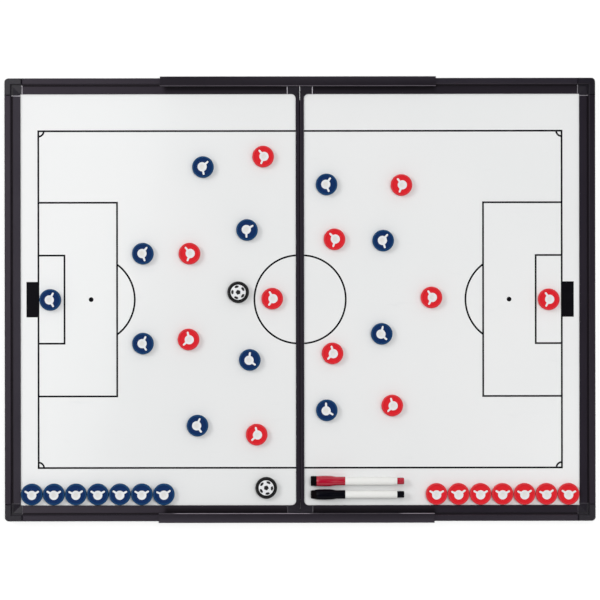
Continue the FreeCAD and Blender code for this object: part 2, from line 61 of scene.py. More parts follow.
# Printed pitch
LINE = 1.8 * MM
INK_FILM = 0.05 * MM
PITCH_X, PITCH_Y = 266.1 * MM, 171.25 * MM
PENALTY_X, PENALTY_Y = 186.1 * MM, 98.5 * MM
GOAL_AREA_X, GOAL_AREA_Y = 239.6 * MM, 44.8 * MM
GOAL_X, GOAL_Y = 278.3 * MM, 18 * MM
SPOT_X, SPOT_RADIUS, SPOT_SIDES = 212.5 * MM, 2.4 * MM, 32
ARC_RADIUS, CORNER_RADIUS = 44.35 * MM, 5.5 * MM
RING_SIDES = 128
# The centre circle's halves have a centre each, off the seam; the print lies a little off the middle
CENTRE_X, CENTRE_RADIUS = 1.65 * MM, 44.8 * MM
PRINT_SHIFT = 0.1 * MM, 0.26 * MM

# Counters
COUNTER_RADIUS, COUNTER_HEIGHT = 11 * MM, 5 * MM
COUNTER_TOP = FACE + COUNTER_HEIGHT
COUNTER_SIDES = 56
COUNTER_RIM, COUNTER_SLOPE, COUNTER_DISH = 1.7 * MM, 0.7 * MM, 0.7 * MM
COUNTER_EDGE, COUNTER_FOOT = 0.75 * MM, 0.3 * MM
COUNTER_STEP = 22.35 * MM
DISH_FLOOR = COUNTER_TOP - COUNTER_DISH
MAGNET_SIDE, MAGNET_HEIGHT, MAGNET_EDGE = 11 * MM, 2 * MM, 0.25 * MM
MAGNET_GAP, MAGNET_LIFT = 0.1 * MM, 0.02 * MM
FIGURE_RISE, HEAD_SIDES = 0.45 * MM, 40
HEAD_RADIUS, HEAD_HOLLOW, HEAD_BACK = 4.68 * MM, 2.4 * MM, 0.85 * MM
CROWN_STEPS = [(0.5 * MM, 0.2 * MM), (0.9 * MM, 0.09 * MM)]
ARM_START, ARM_REACH, ARM_SPREAD = 3.4 * MM, 8.4 * MM, 60
ARM_WIDTH, SHOULDER_WIDTH = 1.8 * MM, 2.3 * MM
BLUE_FACING = [1, -9, 2.5, -18, 6, -29, 23, -6.5, 31, -11, 16]
RED_FACING = [182, 183.5, 188, 167, 194, 164, 177, 188, 163.5, 189, 162]
BLUE_SPARE_FACING = [90, 90, 93, 90, 88, 91, 96]
RED_SPARE_FACING = [90, 95, 90, 89, 93, 96, 87]
BALL_RADIUS, BALL_RISE, BALL_EDGE, BALL_SIDES = 7.7 * MM, 0.4 * MM, 0.15 * MM, 48
PATCH_RADIUS, PATCH_RISE, PATCH_CORNER = 2.65 * MM, 0.06 * MM, 0.3 * MM
OUTER_PATCH_X, OUTER_PATCH_SCALE, OUTER_PATCHES = 5.85 * MM, (0.54, 0.95, 1), 5
MATCH_BALL_TURN, SPARE_BALL_TURN = 178, -5

# Pens: for each piece, distances along it from its end nearest the eraser, and radii
PEN_SIDES = 40
ERASER = [(0, 4.3), (0.35, 4.85), (1.1, 5.1), (2.4, 5.15), (5.8, 5.15)]
WORN_ERASER = [(0, 3.5), (0.4, 3.95), (1.4, 4.2), (3.4, 4.5), (5, 4.8), (5.8, 4.9)]
CAP = [(0, 4.9), (0.3, 5.08), (2.8, 5.25), (6.3, 5.36), (9.8, 5.4), (12.8, 5.34), (15.3, 5.16), (17.4, 4.88),
       (19, 4.6), (20, 4.46), (20.3, 4.4), (28.5, 4.4), (28.9, 4.33), (29.2, 4.12), (29.2, 3.6), (8.2, 3.6)]
BARREL = [(0, 1.5), (0.3, 1.95), (3.8, 2), (4, 3.3), (4.3, 3.5), (13, 3.5), (13, 3.95), (13.25, 4.15),
          (65.4, 4.15), (65.7, 4), (65.7, 2.7)]
NIB = [(0, 0.45), (0.3, 0.8), (1, 1), (12, 1)]
END_PLUG = [(0, 2.6), (6, 2.6), (6, 3.25), (6.2, 3.4), (12.2, 3.4), (12.8, 3.25), (13.1, 2.9), (13.1, 2.2),
            (12.9, 2.05)]


# Modelling by hand

def clear_bench():
    """Leaves nothing selected and no piece open for editing."""
    if bpy.context.object and bpy.context.object.mode != "OBJECT":
        bpy.ops.object.mode_set(mode="OBJECT")
    bpy.ops.object.select_all(action="DESELECT")


def take(*pieces):
    """Selects these pieces alone, the last one active."""
    clear_bench()
    for piece in pieces:
        piece.select_set(True)
    bpy.context.view_layer.objects.active = pieces[-1]
    return pieces[-1]


def settle(name=None):
    """Puts the active piece's place into its mesh, and gives it its name."""
    if bpy.context.object.mode != "OBJECT":
        bpy.ops.object.mode_set(mode="OBJECT")
    piece = take(bpy.context.object)
    bpy.ops.object.transform_apply(location=True, rotation=True, scale=True)
    if name:
        piece.name = piece.data.name = name
    return piece


def open_up(kind="FACE"):
    """Opens the active piece for editing with nothing selected."""
    bpy.ops.object.mode_set(mode="EDIT")
    bpy.ops.mesh.select_mode(type=kind)
    bpy.ops.mesh.select_all(action="DESELECT")


def pick(kind, wanted):
    """Selects the open piece's faces, edges or vertices that the test wants, and no others."""
    bpy.ops.mesh.select_mode(type=kind)
    bpy.ops.mesh.select_all(action="DESELECT")
    data = bpy.context.object.data
    shape = bmesh.from_edit_mesh(data)
    parts = {"FACE": shape.faces, "EDGE": shape.edges, "VERT": shape.verts}[kind]
    parts.ensure_lookup_table()
    for part in parts:
        if wanted(part):
            part.select_set(True)
    shape.select_flush_mode()
    bmesh.update_edit_mesh(data)


def middle(part):
    """The middle of an edge."""
    return (part.verts[0].co + part.verts[1].co) / 2


def faces_up(face):
    return face.normal.z > 0.9


def faces_down(face):
    return face.normal.z < -0.9


def true_up():
    """Turns all faces of the open piece outwards."""
    bpy.ops.mesh.select_all(action="SELECT")
    bpy.ops.mesh.remove_doubles(threshold=1e-7)
    bpy.ops.mesh.normals_make_consistent(inside=False)


def smooth(piece, angle=35):
    """Shades a piece smooth, apart from edges that are sharper than the angle."""
    take(piece)
    bpy.ops.object.shade_smooth_by_angle(angle=math.radians(angle))
    return piece


def join(name, *pieces):
    """Makes one piece of several."""
    take(*pieces)
    bpy.ops.object.join()
    piece = bpy.context.object
    piece.name = piece.data.name = name
    return piece


def cut_with(piece, tool, operation):
    """Cuts or unites a piece with another, which is used up."""
    take(piece)
    change = piece.modifiers.new("cut", "BOOLEAN")
    change.operation, change.object, change.solver = operation, tool, "EXACT"
    bpy.ops.object.modifier_apply(modifier=change.name)
    bpy.data.objects.remove(tool)
    return piece


def copy_to(master, name, spot, turn=0):
    """A copy of a master piece with its own mesh, turned about Z and set down at a spot."""
    take(master)
    bpy.ops.object.duplicate(linked=False)
    piece = bpy.context.object
    piece.rotation_euler.z = math.radians(turn)
    piece.location = (spot[0], spot[1], 0)
    return settle(name)


def paint(piece, finish, patch=None, wanted=None):
    """Gives a piece its finish, and another one to the faces that the test wants."""
    piece.data.materials.clear()
    piece.data.materials.append(finish)
    if patch:
        piece.data.materials.append(patch)
        for face in piece.data.polygons:
            face.material_index = int(wanted(face))
    return piece


# Finishes

class Wire:
    """One socket of a finish's nodes; sums and products of wires add Math nodes."""

    def __init__(self, tree, socket=None):
        self.tree, self.socket = tree, socket

    def add(self, kind, settings, values, out=0):
        """A node of that kind: its settings first, then the values or wires of its sockets."""
        node = self.tree.nodes.new("ShaderNode" + kind)
        for name, value in settings.items():
            setattr(node, name, value)
        for name, value in values.items():
            if isinstance(value, Wire):
                self.tree.links.new(value.socket, node.inputs[name])
            else:
                node.inputs[name].default_value = value
        return Wire(self.tree, node.outputs[out])

    def maths(self, operation, *values):
        return self.add("Math", {"operation": operation}, dict(enumerate(values)))

    def __add__(self, other):
        return self.maths("ADD", self, other)

    def __radd__(self, other):
        return self.maths("ADD", other, self)

    def __sub__(self, other):
        return self.maths("SUBTRACT", self, other)

    def __rsub__(self, other):
        return self.maths("SUBTRACT", other, self)

    def __mul__(self, other):
        return self.maths("MULTIPLY", self, other)

    def __rmul__(self, other):
        return self.maths("MULTIPLY", other, self)

    def __abs__(self):
        return self.maths("ABSOLUTE", self)

    def __lt__(self, other):
        return self.maths("LESS_THAN", self, other)

    def __gt__(self, other):
        return self.maths("GREATER_THAN", self, other)

    def fade(self, low, high):
        """0 below low, 1 above high, and a soft step between."""
        return self.add("MapRange", {"interpolation_type": "SMOOTHSTEP"},
                        {"Value": self, "From Min": low, "From Max": high})

    def span(self, low, high, soft):
        """1 from low to high and 0 outside, with a soft step of that width at both ends."""
        return self.fade(low - soft / 2, low + soft / 2) * (1 - self.fade(high - soft / 2, high + soft / 2))

    def mix(self, first, second):
        """A colour between two, by this wire."""
        return self.add("Mix", {"data_type": "RGBA"}, {0: self, 6: first, 7: second}, out=2)

    def scaled(self, *factors):
        """Coordinates stretched along the axes."""
        return self.add("Mapping", {}, {"Vector": self, "Scale": factors})

    def grain(self, scale, detail=2, roughness=0.5):
        """Cloudy noise, 0 to 1, with that many clouds to the metre."""
        return self.add("TexNoise", {},
                        {"Vector": self, "Scale": scale, "Detail": detail, "Roughness": roughness})

    def axis(self, letter):
        return self.add("SeparateXYZ", {}, {"Vector": self}, out=letter)

    def relief(self, depth, strength):
        """A normal with this wire as a height of that depth."""
        return self.add("Bump", {}, {"Height": self, "Distance": depth, "Strength": strength})


def tone(red, green, blue):
    """A colour in linear light from its 0-255 screen values."""
    def linear(value):
        share = value / 255
        return share / 12.92 if share <= 0.04045 else ((share + 0.055) / 1.055) ** 2.4
    return linear(red), linear(green), linear(blue), 1


def new_finish(name, **fixed):
    """A finish with its fixed values set, its shader, and a wire at the piece's own coordinates."""
    finish = bpy.data.materials.new(name)
    finish.use_nodes = True
    shader = finish.node_tree.nodes["Principled BSDF"]
    for socket, value in fixed.items():
        shader.inputs[socket.replace("_", " ")].default_value = value
    place = Wire(finish.node_tree).add("TexCoord", {}, {}, out="Object")
    return finish, shader, place


def lead(shader, **wires):
    """Leads wires into a shader's sockets."""
    for socket, wire in wires.items():
        wire.tree.links.new(wire.socket, shader.inputs[socket.replace("_", " ")])


def enamel():
    """White baked enamel: gloss with a faint orange peel and the ghost of wiped ink."""
    finish, shader, place = new_finish("white_enamel", Coat_Weight=0.15, Coat_Roughness=0.06)
    cloud = place.grain(7, 3)
    wiped = place.scaled(9, 34, 1).grain(1.6, 4, 0.6).fade(0.62, 0.86)
    white = cloud.mix(tone(234, 236, 236), tone(240, 240, 240))
    peel = place.grain(700, 1)
    lead(shader, Base_Color=(wiped * 0.22).mix(white, tone(206, 208, 212)),
         Roughness=0.14 + cloud * 0.08 + wiped * 0.1, Normal=peel.relief(0.00001, 0.25))
    return finish


def pitch_ink():
    """Screen-printed black: satin, with pinholes and a slightly uneven film."""
    finish, shader, place = new_finish("pitch_ink", Specular_IOR_Level=0.06)
    speck = place.grain(2600, 2).fade(0.66, 0.74)
    film = place.grain(60, 2)
    lead(shader, Base_Color=(speck * 0.3).mix(film.mix(tone(5, 4, 9), tone(15, 14, 19)), tone(70, 70, 72)),
         Roughness=0.35 + film * 0.2, Normal=film.relief(0.00001, 0.3))
    return finish


def charcoal(name, stretch, dark, light, light_and_gloss, rough=0.25):
    """Charcoal lacquer on a drawn profile: die lines along its run, a fine grain and its own painted light
    and shade.

    Its function argument gives wires by socket: the colour with painted light and shade, the roughness and
    the metal."""
    finish, shader, place = new_finish(name, Specular_IOR_Level=0.38, Specular_Tint=(1, 0.88, 1, 1))
    lines = place.scaled(*stretch).grain(1, 3, 0.6)
    grit = place.grain(3400, 2)
    cloud = place.grain(18, 2)
    colour = (grit.fade(0.6, 0.8) * 0.25).mix((lines * 0.6 + cloud * 0.4).mix(dark, light), light)
    # The colour takes painted light and shade here, with the roughness.
    light_and_grain = light_and_gloss(place, cloud, colour, rough + cloud * 0.12 + grit * 0.06)
    lead(shader, **light_and_grain, Normal=(lines + grit * 0.6).relief(0.00002, 0.16))
    return finish


def shaded_matt_groove(place, inward, colour, gloss):
    """The groove between a rail's rim and ledge, where the lacquer is matt and painted shade darkens its
    colour.
    """
    soft, low, high = 0.3 * MM, 11.4 * MM, 12.3 * MM
    deep = inward.span(GROOVE_START, GROOVE_END, soft) * (1 - place.axis("Z").fade(low, high))
    return {"Base_Color": deep.mix(colour, tone(8, 5, 11)), "Roughness": gloss + deep * 0.2}


def long_rail_shade_and_sheen(place, cloud, colour, gloss):
    """Painted shade in a matt groove, painted shade on a ledge made rougher beside the lock bars and a little
    at the upper right, and a painted sheen that makes the rim paler.

    The rim isn't paler at the upper left."""
    x, y = place.axis("X"), place.axis("Y")
    inward = HALF_WIDTH - abs(y)
    # Painted sheen: the outer rim is made paler, but not at the upper left.
    painted_rim_sheen = (1 - inward.fade(6.2 * MM, 6.6 * MM)) * (1 - (x < 0) * (y > 0)) * 0.15
    # Painted shade on the ledge beside the lock bars and, less, right of the upper bar, where the ledge is
    # also rougher and more metallic.
    beside = 1 - abs(x).fade(*BARS_END) + x.fade(*BARS_END) * (y > 0) * 0.4
    painted_bar_shade = beside * inward.fade(8.3 * MM, 8.7 * MM) * (1 - inward.fade(10 * MM, 15 * MM) * 0.6)
    colour = painted_bar_shade.mix(painted_rim_sheen.mix(colour, tone(70, 67, 75)), tone(6, 4, 9))
    return shaded_matt_groove(place, inward, colour, gloss + painted_bar_shade * 0.35) | {"Metallic": painted_bar_shade * 0.45}


def side_rail_shade_and_sheen(place, cloud, colour, gloss):
    """Painted shade in a matt groove, and on the left a painted sheen that makes the ledge pale."""
    x, soft = place.axis("X"), 0.4 * MM
    inward = HALF_LENGTH - abs(x)
    # Painted sheen: the ledge on the left is made paler.
    pale = inward.span(LEDGE_START, LEDGE_END + 1 * MM, soft) * (x < 0) * (cloud * 0.2 + 0.25)
    return shaded_matt_groove(place, inward, pale.mix(colour, tone(70, 67, 75)), gloss)


def bar_shade_and_highlight(place, cloud, colour, gloss):
    """Paler towards the outer edge; painted light makes the lower bar paler still and painted shade darkens
    the upper left; a painted highlight runs along parts of the inner edge.
    """
    x, y = place.axis("X"), place.axis("Y")
    inward, lower = HALF_WIDTH - abs(y), y < 0
    outer = 1 - inward.fade(-2 * MM, 7 * MM)
    # Painted light makes the lower bar paler and painted shade darkens the upper left, which is also more
    # metallic.
    upper_left = (1 - lower) * (1 - x.fade(-140 * MM, 40 * MM))
    colour = (outer * (0.32 + lower * 0.2 - upper_left * 0.3) + lower * 0.14).mix(colour, tone(62, 58, 66))
    # A painted highlight along the inner crest; bare is its strength, highest in patches on the lower bar.
    patches = x.span(-127 * MM, 10 * MM, 8 * MM) + x.span(102 * MM, 150 * MM, 6 * MM)
    bare = 0.3 + lower * (patches * 0.48 - 0.16)
    crest = inward.fade(7.5 * MM, 8 * MM) * place.axis("Z").fade(16.4 * MM, 16.9 * MM)
    colour = (crest * bare * (cloud * 0.4 + 0.8)).mix(colour, tone(200, 190, 202))
    return {"Base_Color": colour, "Roughness": gloss, "Metallic": upper_left * 0.35}


def moulded(name, colour, light, rough=0.3, grain_scale=2200, gloss=0.45):
    """Moulded plastic: a fine spark grain, soft clouds of tone and scuffs."""
    finish, shader, place = new_finish(name, Specular_IOR_Level=gloss)
    grit = place.grain(grain_scale, 2)
    cloud = place.grain(130, 3)
    scuff = place.scaled(60, 420, 420).grain(1, 3, 0.7).fade(0.66, 0.82)
    lead(shader, Base_Color=(cloud * 0.35 + scuff * 0.25).mix(colour, light),
         Roughness=rough + cloud * 0.1 + scuff * 0.15, Normal=(grit + scuff * 0.3).relief(0.00002, 0.25))
    return finish


def metal(name, dark, light, stretch, rough):
    """Bare metal with brush lines along one axis."""
    finish, shader, place = new_finish(name, Metallic=1.0)
    brush = place.scaled(*stretch).grain(1, 4, 0.65)
    stain = place.grain(45, 3)
    lead(shader, Base_Color=(brush * 0.6 + stain * 0.4).mix(dark, light),
         Roughness=rough + brush * 0.15 + stain * 0.1, Normal=brush.relief(0.00002, 0.3))
    return finish


def sawn_metal():
    """A rail's sawn end: bare aluminium, with painted light making it brightest at the upper left and painted
    shade leaving it grey elsewhere.
    """
    finish, shader, place = new_finish("sawn_aluminium", Specular_IOR_Level=0.3)
    saw = place.scaled(1400, 1400, 300).grain(1, 3, 0.6)
    # Painted light: brightest at the upper left, and dark grey elsewhere as painted shade.
    painted_light = (place.axis("Y") - place.axis("X") * 0.5).fade(-0.12, 0.3)
    light_and_grain = painted_light * 0.85 + saw * 0.15
    lead(shader, Base_Color=light_and_grain.mix(tone(40, 37, 44), tone(205, 200, 208)), Roughness=0.35 + saw * 0.2,
         Normal=saw.relief(0.00002, 0.3))
    return finish


def felt():
    """Pressed black felt: short matted fibres."""
    finish, shader, place = new_finish("black_felt", Specular_IOR_Level=0.06)
    fibre = place.scaled(900, 4200, 4200).grain(1, 4, 0.7)
    mat = place.grain(1500, 3, 0.7)
    lead(shader, Base_Color=(fibre * 0.5 + mat * 0.5).mix(tone(3, 2, 3), tone(15, 11, 14)),
         Roughness=0.85 + mat * 0.12, Normal=(fibre + mat).relief(0.0001, 0.8))
    return finish


def backing():
    """The back's grey film, embossed like linen."""
    finish, shader, place = new_finish("backing_film", Specular_IOR_Level=0.35)
    warp = place.scaled(260, 2600, 1).grain(1, 2)
    weft = place.scaled(2600, 260, 1).grain(1, 2)
    cloud = place.grain(12, 3)
    lead(shader, Base_Color=(warp * 0.3 + weft * 0.3 + cloud * 0.4).mix(tone(70, 70, 74), tone(98, 98, 101)),
         Roughness=0.5 + cloud * 0.12, Normal=(warp + weft).relief(0.00006, 0.5))
    return finish


def fibreboard():
    """Pressed fibres of the core board."""
    finish, shader, place = new_finish("core_fibre", Specular_IOR_Level=0.2)
    fibre = place.scaled(500, 500, 1500).grain(1, 4, 0.7)
    lead(shader, Base_Color=fibre.mix(tone(150, 122, 90), tone(188, 160, 124)),
         Roughness=0.8 + fibre * 0.1, Normal=fibre.relief(0.0001, 0.5))
    return finish


# Scenery

def camera():
    """The photograph's place: straight above the board, three metres away."""
    away, half_view, lens = 3, 305.1 * MM, 50
    off_middle, turn = -0.4 * MM, math.radians(-0.07)
    bpy.ops.object.camera_add(location=(0, off_middle, FACE + away), rotation=(0, 0, turn))
    eye = bpy.context.object
    eye.name = "photo_camera"
    eye.data.lens = lens
    eye.data.sensor_width = 2 * lens * half_view / away
    eye.data.clip_start, eye.data.clip_end = 0.01, 100
    bpy.context.scene.camera = eye


def softbox(name, spot, aim, size, power, lit=True, mirrored=True):
    """A square softbox at a spot, turned to its aim.

    Unlit it shows in gloss alone, and unmirrored it lights without showing in gloss."""
    bpy.ops.object.light_add(type="AREA", location=spot)
    lamp = bpy.context.object
    lamp.name = name
    lamp.data.shape = "SQUARE"
    lamp.data.size, lamp.data.energy = size, power
    lamp.visible_diffuse, lamp.visible_glossy = lit, mirrored
    lamp.rotation_euler = (Vector(aim) - Vector(spot)).to_track_quat("-Z", "Y").to_euler()


def daylight(sides, overhead, backdrop):
    """A white room, darker overhead where the camera stands; the backdrop itself shows paper white."""
    world = bpy.data.worlds.new("white_room")
    world.use_nodes = True
    bpy.context.scene.world = world
    tree = world.node_tree
    room = tree.nodes["Background"]
    room.inputs["Color"].default_value = (1, 1, 1, 1)
    start = Wire(tree)
    height = start.add("TexCoord", {}, {}, out="Generated").axis("Z")
    lit = height.fade(0.5, 0.92) * (overhead - sides) + sides
    seen = start.add("LightPath", {}, {}, out="Is Camera Ray")
    strength = lit + seen * (backdrop - lit)
    tree.links.new(strength.socket, room.inputs["Strength"])


def floor():
    """A pale sheet under the board, thin enough to let a leaf below it show."""
    radius, rim, below = 2.5, 1.2, 0.2 * MM
    clear_bench()
    bpy.ops.mesh.primitive_circle_add(vertices=64, radius=radius, fill_type="NGON", location=(0, 0, -below))
    sheet = settle("pale_floor")
    open_up()
    bpy.ops.mesh.select_all(action="SELECT")
    bpy.ops.mesh.inset(thickness=rim)
    bpy.ops.object.mode_set(mode="OBJECT")
    finish, shader, place = new_finish("pale_floor", Roughness=0.9, Specular_IOR_Level=0.1)
    cloud = place.grain(3, 2)
    lead(shader, Base_Color=cloud.mix(tone(244, 244, 244), tone(250, 250, 250)))
    tree = finish.node_tree
    through = place.add("BsdfTransparent", {}, {})
    away = place.add("VectorMath", {"operation": "LENGTH"}, {0: place}, out="Value")
    blend = place.add("MixShader", {}, {0: 0.3 - away.fade(0.35, 1.6) * 0.3, 1: through,
                                        2: Wire(tree, shader.outputs[0])})
    tree.links.new(blend.socket, tree.nodes["Material Output"].inputs["Surface"])
    paint(sheet, finish)


# Printed pitch

def line_box(low, high):
    """A printed frame whose lines run through two opposite corners."""
    size = [h - l + LINE for l, h in zip(low, high)]
    clear_bench()
    bpy.ops.mesh.primitive_plane_add(size=1, location=((low[0] + high[0]) / 2, (low[1] + high[1]) / 2, FACE))
    bpy.context.object.scale = (size[0], size[1], 1)
    piece = settle()
    open_up()
    bpy.ops.mesh.select_all(action="SELECT")
    bpy.ops.mesh.inset(thickness=LINE)
    bpy.ops.mesh.delete(type="FACE")
    return piece


def line_ring(x, y, radius):
    """A printed circle."""
    clear_bench()
    bpy.ops.mesh.primitive_circle_add(vertices=RING_SIDES, radius=radius + LINE / 2, fill_type="NGON",
                                      location=(x, y, FACE))
    piece = settle()
    open_up()
    bpy.ops.mesh.select_all(action="SELECT")
    bpy.ops.mesh.inset(thickness=LINE)
    bpy.ops.mesh.delete(type="FACE")
    return piece


def trim(*cuts):
    """Cuts the open piece back to what lies behind each cut, given as a place and an outward direction."""
    for spot, outward in cuts:
        bpy.ops.mesh.select_all(action="SELECT")
        bpy.ops.mesh.bisect(plane_co=(*spot, FACE), plane_no=(*outward, 0), clear_outer=True)
    bpy.ops.object.mode_set(mode="OBJECT")
    return bpy.context.object


def half_pitch(name, side):
    """The lines printed on one leaf; side is -1 for the left leaf and 1 for the right."""
    half = LINE / 2
    goal_line = (side * (PITCH_X - half), 0), (side, 0)
    seam_cut = (side * STRIP_EDGE, 0), (-side, 0)
    lines = []
    line_box((-PITCH_X, -PITCH_Y), (PITCH_X, PITCH_Y))
    lines.append(trim(seam_cut))
    for reach, width in ((PENALTY_X, PENALTY_Y), (GOAL_AREA_X, GOAL_AREA_Y)):
        ends = sorted((side * PITCH_X, side * reach))
        line_box((ends[0], -width), (ends[1], width))
        lines.append(trim(goal_line))
    line_ring(side * SPOT_X, 0, ARC_RADIUS)
    lines.append(trim(((side * (PENALTY_X - half), 0), (side, 0))))
    line_ring(side * CENTRE_X, 0, CENTRE_RADIUS)
    lines.append(trim(seam_cut))
    for end in (-1, 1):
        line_ring(side * PITCH_X, end * PITCH_Y, CORNER_RADIUS)
        lines.append(trim(goal_line, ((0, end * (PITCH_Y - half)), (0, end))))
    clear_bench()
    bpy.ops.mesh.primitive_circle_add(vertices=SPOT_SIDES, radius=SPOT_RADIUS, fill_type="NGON",
                                      location=(side * SPOT_X, 0, FACE))
    lines.append(settle())
    clear_bench()
    bpy.ops.mesh.primitive_plane_add(size=1, location=(side * (PITCH_X + half + GOAL_X) / 2, 0, FACE))
    bpy.context.object.scale = (GOAL_X - PITCH_X - half, 2 * GOAL_Y, 1)
    lines.append(settle())
    piece = join(name, *lines)
    piece.location.xy = PRINT_SHIFT
    settle()
    film = piece.modifiers.new("film", "SOLIDIFY")
    film.thickness, film.offset = INK_FILM, 1
    bpy.ops.object.modifier_apply(modifier=film.name)
    open_up()
    true_up()
    bpy.ops.object.mode_set(mode="OBJECT")
    return piece


# Counters

def on_rim(edge):
    """Whether an edge runs round the outside of a counter's disc."""
    level = abs(edge.verts[0].co.z - edge.verts[1].co.z) < 1e-6
    return level and middle(edge).xy.length > 0.99 * COUNTER_RADIUS


def in_dish(face):
    """Whether a face of the disc lies in its dished top."""
    return (face.normal.z > 0.2 and FACE + MAGNET_HEIGHT < face.center.z < COUNTER_TOP - 0.1 * MM
            and face.center.xy.length < COUNTER_RADIUS - COUNTER_RIM)


def in_crown(face):
    """Whether a face of the figure lies in its hollow crown."""
    return face.normal.z > 0.5 and face.center.z < DISH_FLOOR + FIGURE_RISE - 0.05 * MM


def counter_disc():
    """A moulded disc with a rounded edge, a dished top and a square magnet let into its underside."""
    clear_bench()
    bpy.ops.mesh.primitive_cylinder_add(vertices=COUNTER_SIDES, radius=COUNTER_RADIUS, depth=COUNTER_HEIGHT,
                                        location=(0, 0, FACE + COUNTER_HEIGHT / 2))
    disc = settle("counter_disc")
    open_up()
    pick("FACE", faces_up)
    bpy.ops.mesh.inset(thickness=COUNTER_RIM)
    bpy.ops.mesh.inset(thickness=COUNTER_SLOPE, depth=-COUNTER_DISH)
    pick("EDGE", lambda edge: on_rim(edge) and middle(edge).z > FACE + COUNTER_HEIGHT / 2)
    bpy.ops.mesh.bevel(offset=COUNTER_EDGE, segments=4)
    pick("EDGE", lambda edge: on_rim(edge) and middle(edge).z < FACE + 0.1 * MM)
    bpy.ops.mesh.bevel(offset=COUNTER_FOOT, segments=2)
    clear_bench()
    bpy.ops.mesh.primitive_cube_add(size=1, location=(0, 0, FACE + MAGNET_HEIGHT / 2))
    seat_side = MAGNET_SIDE + 2 * MAGNET_GAP
    bpy.context.object.scale = (seat_side, seat_side, MAGNET_HEIGHT + MAGNET_GAP)
    cut_with(disc, settle("magnet_seat"), "DIFFERENCE")
    return smooth(disc)


def magnet():
    """The square magnet glued into a counter's underside."""
    clear_bench()
    bpy.ops.mesh.primitive_cube_add(size=1, location=(0, 0, FACE + MAGNET_HEIGHT / 2 + MAGNET_LIFT))
    bpy.context.object.scale = (MAGNET_SIDE, MAGNET_SIDE, MAGNET_HEIGHT)
    block = settle("magnet")
    open_up()
    bpy.ops.mesh.select_all(action="SELECT")
    bpy.ops.mesh.bevel(offset=MAGNET_EDGE, segments=2)
    bpy.ops.object.mode_set(mode="OBJECT")
    return smooth(block)


def figure():
    """A player seen from above, facing +X: a round head with a hollow crown and two arms reaching forward."""
    clear_bench()
    bpy.ops.mesh.primitive_cylinder_add(vertices=HEAD_SIDES, radius=HEAD_RADIUS, depth=FIGURE_RISE,
                                        location=(-HEAD_BACK, 0, DISH_FLOOR + FIGURE_RISE / 2))
    head = settle("player_figure")
    open_up()
    pick("FACE", faces_up)
    bpy.ops.mesh.inset(thickness=HEAD_RADIUS - HEAD_HOLLOW)
    for width, drop in CROWN_STEPS:
        bpy.ops.mesh.inset(thickness=width, depth=-drop)
    bpy.ops.object.mode_set(mode="OBJECT")
    for way in (-1, 1):
        clear_bench()
        bpy.ops.mesh.primitive_cube_add(size=1, location=((ARM_START + ARM_REACH) / 2, 0,
                                                          DISH_FLOOR + FIGURE_RISE / 2))
        bpy.context.object.scale = (ARM_REACH - ARM_START, ARM_WIDTH, FIGURE_RISE)
        arm = settle("arm")
        open_up()
        pick("FACE", lambda face: face.normal.x < -0.9)
        bpy.ops.transform.resize(value=(1, SHOULDER_WIDTH / ARM_WIDTH, 1))
        pick("EDGE", lambda edge: middle(edge).x > 0.99 * ARM_REACH
             and abs(edge.verts[0].co.z - edge.verts[1].co.z) > 0.5 * FIGURE_RISE)
        bpy.ops.mesh.bevel(offset=0.49 * ARM_WIDTH, segments=5)
        bpy.ops.object.mode_set(mode="OBJECT")
        arm.rotation_euler.z = math.radians(way * ARM_SPREAD)
        arm.location.x = -HEAD_BACK
        cut_with(head, settle("arm"), "UNION")
    return smooth(head)


def ball_print():
    """The ball's white round, raised a little with a rounded edge."""
    clear_bench()
    bpy.ops.mesh.primitive_cylinder_add(vertices=BALL_SIDES, radius=BALL_RADIUS, depth=BALL_RISE,
                                        location=(0, 0, DISH_FLOOR + BALL_RISE / 2))
    crown = settle("ball_crown")
    open_up()
    pick("FACE", faces_up)
    bpy.ops.mesh.bevel(offset=BALL_EDGE, segments=2)
    bpy.ops.object.mode_set(mode="OBJECT")
    return smooth(crown)


def ball_patches():
    """The dark five-sided patches of the ball, one in the middle and five near its edge."""
    top = DISH_FLOOR + BALL_RISE
    patches = []
    for place in range(1 + OUTER_PATCHES):
        clear_bench()
        bpy.ops.mesh.primitive_circle_add(vertices=5, radius=PATCH_RADIUS, fill_type="NGON",
                                          location=(0, 0, top), rotation=(0, 0, -math.pi / 2))
        patch = settle("patch")
        if place:
            patch.scale = OUTER_PATCH_SCALE
            settle()
            patch.location.x = OUTER_PATCH_X
            settle()
            patch.rotation_euler.z = math.radians(place * 360 / OUTER_PATCHES)
            settle()
        open_up("VERT")
        bpy.ops.mesh.select_all(action="SELECT")
        bpy.ops.mesh.bevel(offset=PATCH_CORNER, segments=2, affect="VERTICES")
        bpy.ops.mesh.select_all(action="SELECT")
        bpy.ops.mesh.extrude_region_move(TRANSFORM_OT_translate={"value": (0, 0, PATCH_RISE)})
        true_up()
        bpy.ops.object.mode_set(mode="OBJECT")
        patches.append(patch)
    return join("ball_patches", *patches)


def counter_set(finishes):
    """Master counters by kind: disc, magnet and the sign on top made one piece."""
    disc, block = counter_disc(), paint(magnet(), finishes["magnet"])
    # The hollow crown takes a pale grey finish: painted shade in the hollow.
    sign = paint(figure(), finishes["figure"], finishes["hollow"], in_crown)
    crown, patches = paint(ball_print(), finishes["figure"]), paint(ball_patches(), finishes["ball"])
    masters = {}
    for kind, marks in (("blue", [sign]), ("red", [sign]), ("ball", [crown, patches])):
        pieces = [copy_to(piece, "part", (0, 0)) for piece in [block, *marks]]
        # The dished top takes a darker finish: painted shade, on a more matt floor.
        body = paint(copy_to(disc, "part", (0, 0)), finishes[kind], finishes[f"{kind}_dish"], in_dish)
        masters[kind] = join(f"{kind}_counter", *pieces, body)
    for piece in (disc, block, sign, crown, patches):
        bpy.data.objects.remove(piece)
    return masters


def spot_of(node):
    """The middle of a solid's box."""
    low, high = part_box(node)
    return (low + high) / 2


